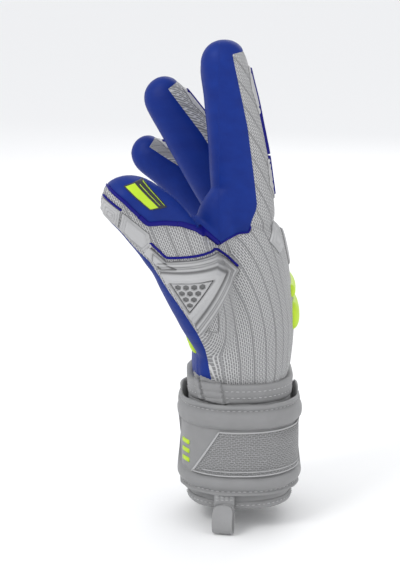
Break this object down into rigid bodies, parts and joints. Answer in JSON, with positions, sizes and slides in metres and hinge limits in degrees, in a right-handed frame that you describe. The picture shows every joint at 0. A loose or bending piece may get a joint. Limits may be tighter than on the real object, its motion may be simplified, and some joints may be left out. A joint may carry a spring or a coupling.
{
  "type": "goalkeeper glove",
  "caption": "Right-hand goalkeeper glove with blue latex palm, grey textile back, rubber pads, wrap-round hook-and-loop wrist strap and pull tab; fingers and thumb curl.",
  "frame": {"origin": "centre of the hand opening, in the plane of the cuff's hem", "axes": "+Z from the cuff to the fingertips, -X out of the palm, -Y to the thumb"},
  "size_m": [0.1227, 0.146, 0.2933],
  "materials": {
    "blue_latex": "satin latex foam",
    "grey_textile": "woven dash-patterned textile",
    "grey_rubber": "matte moulded rubber",
    "dark_grey_mesh": "knitted mesh",
    "cuff_grey": "smooth laminated fabric",
    "lining": "soft brushed lining",
    "lime": "matte rubber",
    "hook_loop": "hook and loop tape"
  },
  "bodies": {
    "hand": {"palm_latex": "blue_latex", "backhand_panel": "grey_textile", "little_side_panel": "grey_textile", "thumb_root": "grey_textile", "hand_lining": "lining", "knuckle_pad": "grey_rubber", "back_pad_upper": "lime", "back_pad_lower": "lime", "palm_patch": "lime", "thumb_guard": "grey_rubber", "thumb_guard_honeycomb": "grey_rubber", "finger_base_flex": "blue_latex", "thumb_base_flex": "blue_latex", "cuff_band": "dark_grey_mesh", "cuff_hem": "cuff_grey", "wrist_elastic": "dark_grey_mesh", "wrist_strip": "cuff_grey", "strap_base": "cuff_grey", "loop_patch": "hook_loop", "tab_anchor": "cuff_grey"},
    "index_base": {"index_base_latex": "blue_latex", "index_base_back": "grey_textile", "index_middle_flex": "blue_latex"},
    "index_tip": {"index_tip_latex": "blue_latex", "index_tip_back": "grey_textile", "index_back_pad": "grey_rubber"},
    "middle_base": {"middle_base_latex": "blue_latex", "middle_base_back": "grey_textile", "middle_middle_flex": "blue_latex"},
    "middle_tip": {"middle_tip_latex": "blue_latex", "middle_tip_back": "grey_textile", "middle_back_pad": "grey_rubber"},
    "ring_base": {"ring_base_latex": "blue_latex", "ring_base_back": "grey_textile", "ring_middle_flex": "blue_latex"},
    "ring_tip": {"ring_tip_latex": "blue_latex", "ring_tip_back": "grey_textile", "ring_back_pad": "grey_rubber"},
    "little_base": {"little_base_latex": "blue_latex", "little_base_back": "grey_textile", "little_middle_flex": "blue_latex"},
    "little_tip": {"little_tip_latex": "blue_latex", "little_tip_back": "grey_textile", "little_back_pad": "grey_rubber"},
    "thumb_base": {"thumb_base_latex": "blue_latex", "thumb_base_back": "grey_textile", "thumb_middle_flex": "blue_latex"},
    "thumb_tip": {"thumb_tip_latex": "blue_latex", "thumb_tip_back": "grey_textile", "thumb_back_pad": "grey_rubber", "thumb_label": "lime"},
    "strap_front": {"strap_wrap": "cuff_grey", "strap_upper_roll": "cuff_grey", "strap_lower_roll": "cuff_grey", "strap_mesh_panel": "dark_grey_mesh"},
    "strap_end": {"strap_tail": "cuff_grey", "hook_patch": "hook_loop"},
    "tab_loop": {"pull_tab": "cuff_grey"}
  },
  "joints": [
    {"name": "index_root", "type": "hinge", "parent": "hand", "child": "index_base", "pos_m": [0.0007, -0.0395, 0.194], "axis": [0, -1, 0], "range_deg": [-10, 50], "stiffness_Nm_per_rad": 0.3, "deforming": ["finger_base_flex"]},
    {"name": "index_middle", "type": "hinge", "parent": "index_base", "child": "index_tip", "pos_m": [-0.00319, -0.0395, 0.22979], "axis": [0, -1, 0], "range_deg": [0, 60], "stiffness_Nm_per_rad": 0.15, "deforming": ["index_middle_flex"]},
    {"name": "middle_root", "type": "hinge", "parent": "hand", "child": "middle_base", "pos_m": [0.0005, -0.0126, 0.19], "axis": [0, -1, 0], "range_deg": [-10, 50], "stiffness_Nm_per_rad": 0.3, "deforming": ["finger_base_flex"]},
    {"name": "middle_middle", "type": "hinge", "parent": "middle_base", "child": "middle_tip", "pos_m": [-0.00337, -0.0126, 0.2268], "axis": [0, -1, 0], "range_deg": [0, 60], "stiffness_Nm_per_rad": 0.15, "deforming": ["middle_middle_flex"]},
    {"name": "ring_root", "type": "hinge", "parent": "hand", "child": "ring_base", "pos_m": [-0.0107, 0.0143, 0.188], "axis": [0, -1, 0], "range_deg": [-10, 50], "stiffness_Nm_per_rad": 0.3, "deforming": ["finger_base_flex"]},
    {"name": "ring_middle", "type": "hinge", "parent": "ring_base", "child": "ring_tip", "pos_m": [-0.02821, 0.0143, 0.21714], "axis": [0, -1, 0], "range_deg": [0, 60], "stiffness_Nm_per_rad": 0.15, "deforming": ["ring_middle_flex"]},
    {"name": "little_root", "type": "hinge", "parent": "hand", "child": "little_base", "pos_m": [-0.02, 0.0398, 0.174], "axis": [0, -1, 0], "range_deg": [-10, 50], "stiffness_Nm_per_rad": 0.3, "deforming": ["finger_base_flex"]},
    {"name": "little_middle", "type": "hinge", "parent": "little_base", "child": "little_tip", "pos_m": [-0.0387, 0.0398, 0.19206], "axis": [0, -1, 0], "range_deg": [0, 60], "stiffness_Nm_per_rad": 0.15, "deforming": ["little_middle_flex"]},
    {"name": "thumb_root_joint", "type": "hinge", "parent": "hand", "child": "thumb_base", "pos_m": [-0.036, -0.06, 0.16], "axis": [0.7164, -0.612, 0.3348], "range_deg": [-32, 8], "stiffness_Nm_per_rad": 0.3, "deforming": ["thumb_base_flex"]},
    {"name": "thumb_middle", "type": "hinge", "parent": "thumb_base", "child": "thumb_tip", "pos_m": [-0.05047, -0.06827, 0.17585], "axis": [0.7164, -0.612, 0.3348], "range_deg": [-44, 0], "stiffness_Nm_per_rad": 0.15, "deforming": ["thumb_middle_flex"]},
    {"name": "strap_open", "type": "hinge", "parent": "hand", "child": "strap_front", "pos_m": [0.0373, 0, 0.0375], "axis": [0, 0, 1], "range_deg": [0, 50]},
    {"name": "strap_end_fold", "type": "hinge", "parent": "strap_front", "child": "strap_end", "pos_m": [-0.0373, 0, 0.0375], "axis": [0, 0, 1], "range_deg": [0, 125]},
    {"name": "pull_tab_swing", "type": "hinge", "parent": "hand", "child": "tab_loop", "pos_m": [-0.0095, -0.0412, 0.0042], "axis": [-1, 0, 0], "range_deg": [0, 40]}
  ],
  "couplings": [
    {"joint": "strap_end_fold", "follows": "strap_open", "ratio": 2.5}
  ]
}
